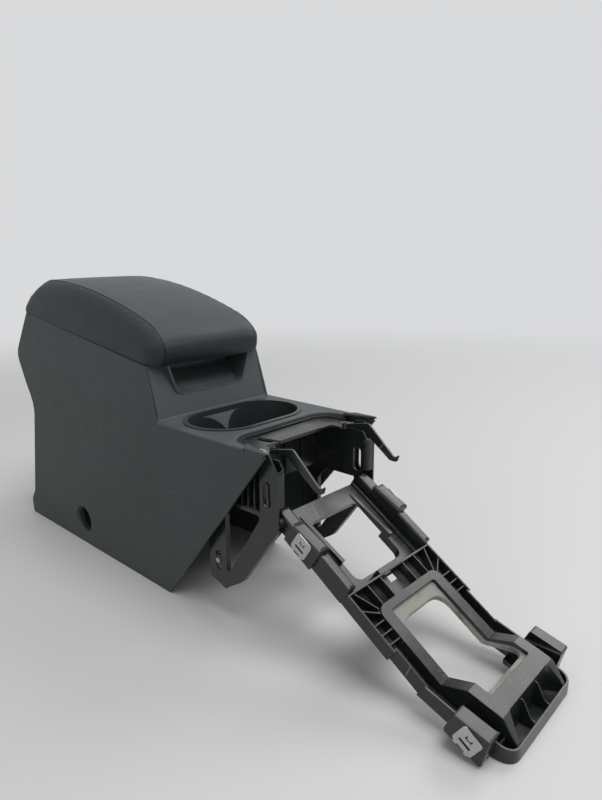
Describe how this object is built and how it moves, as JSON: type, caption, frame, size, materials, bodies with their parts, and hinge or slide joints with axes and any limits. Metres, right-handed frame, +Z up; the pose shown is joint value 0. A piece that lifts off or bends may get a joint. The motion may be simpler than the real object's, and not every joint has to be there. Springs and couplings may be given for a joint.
{
  "type": "car center console",
  "caption": "Car center console with a hinged padded armrest over a storage bin, a cup holder deck with a finger recess, and an open ribbed carrier that slopes down to the floor in front.",
  "frame": {"origin": "middle of the bounding box at floor level, where the console stands", "axes": "+Z up, -Y towards the front of the car, +X to the right seen from behind the car"},
  "size_m": [0.2, 0.8729, 0.4081],
  "materials": {
    "grained_grey": "fine moulded grain, matt dark grey",
    "moulded_black": "plain moulded, dull with a slight sheen, scuffed",
    "armrest_cover": "soft grained cover, worn lighter on top",
    "grey_foam": "matt open foam",
    "spring_steel": "thin plated sheet",
    "black_rubber": "matt"
  },
  "bodies": {
    "console": {"side_panel_left": "grained_grey", "side_panel_right": "grained_grey", "rear_panel": "grained_grey", "cupholder_trim": "grained_grey", "cup_well": "grained_grey", "trim_bracket": "moulded_black", "trim_clip_left": "spring_steel", "trim_clip_right": "spring_steel", "support_frame": "moulded_black", "leg_screw_left": "spring_steel", "leg_screw_right": "spring_steel", "front_carrier": "moulded_black", "foam_gasket": "grey_foam", "spring_clip_rear_left": "spring_steel", "spring_clip_rear_right": "spring_steel", "spring_clip_front_left": "spring_steel", "spring_clip_front_right": "spring_steel", "storage_bin": "moulded_black", "bin_mat": "black_rubber", "hinge_bracket": "spring_steel", "hinge_pin": "spring_steel"},
    "armrest": {"armrest_cushion": "armrest_cover", "lid_tray": "moulded_black", "hinge_leaf": "spring_steel", "stop_pad_1": "black_rubber", "stop_pad_2": "black_rubber", "stop_pad_3": "black_rubber", "stop_pad_4": "black_rubber"}
  },
  "joints": [
    {"name": "armrest_hinge", "type": "hinge", "parent": "console", "child": "armrest", "pos_m": [0, 0.3923, 0.3506], "axis": [-1, 0, 0], "range_deg": [0, 85]}
  ]
}
